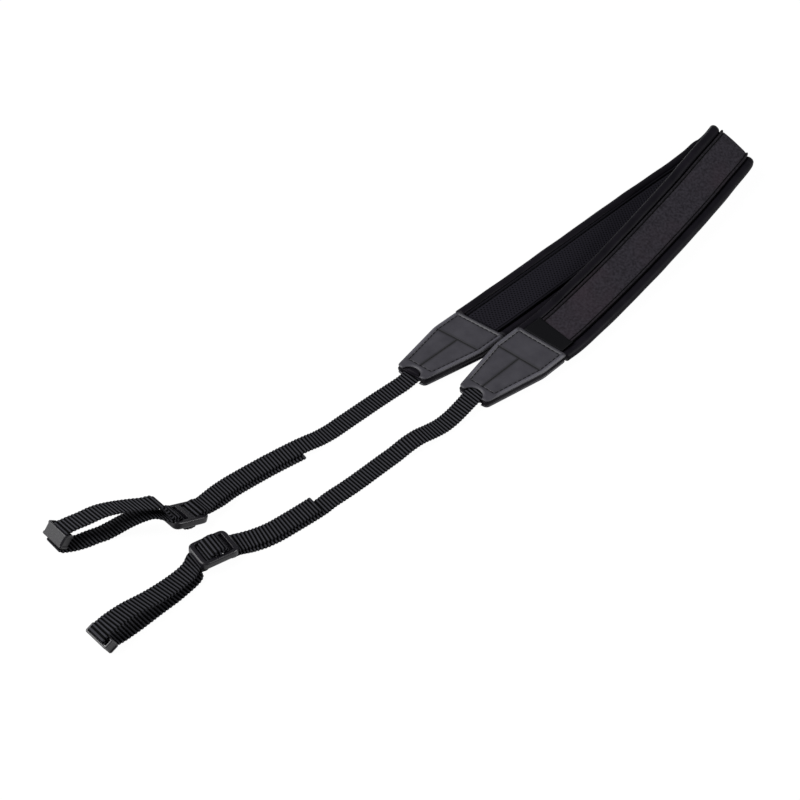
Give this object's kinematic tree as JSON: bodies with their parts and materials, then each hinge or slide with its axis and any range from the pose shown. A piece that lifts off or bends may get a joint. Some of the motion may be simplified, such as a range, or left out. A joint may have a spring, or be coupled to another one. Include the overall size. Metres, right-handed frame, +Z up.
{
  "type": "camera neck strap",
  "caption": "Padded camera neck strap lying folded in half, with round bound edges, leather ends and narrow ribbed webbing that runs through three-bar slides into lug loops.",
  "frame": {"origin": "on the floor, under the middle of the laid-out strap's box", "axes": "+X along the strap from the lug loops to the fold of the pad, +Y towards the rear half, +Z up"},
  "size_m": [0.468, 0.0984, 0.0246],
  "materials": {
    "neoprene": "smooth stretch cloth over foam",
    "panel_cloth": "matt brushed cloth",
    "spacer_mesh": "knitted spacer mesh",
    "grain_leather": "satin coated leather",
    "ribbed_webbing": "ribbed woven polyester",
    "moulded_plastic": "satin moulded acetal",
    "woven_label": "plain woven tape, bare"
  },
  "bodies": {
    "root": {"pad_core": "neoprene", "outer_panel": "panel_cloth", "mesh_panel": "spacer_mesh", "front_patch_outer": "grain_leather", "front_patch_inner": "grain_leather", "rear_patch_outer": "grain_leather", "rear_patch_inner": "grain_leather", "front_webbing": "ribbed_webbing", "rear_webbing": "ribbed_webbing", "front_triglide": "moulded_plastic", "rear_triglide": "moulded_plastic", "front_keeper": "moulded_plastic", "rear_keeper": "moulded_plastic", "label": "woven_label"}
  },
  "joints": []
}
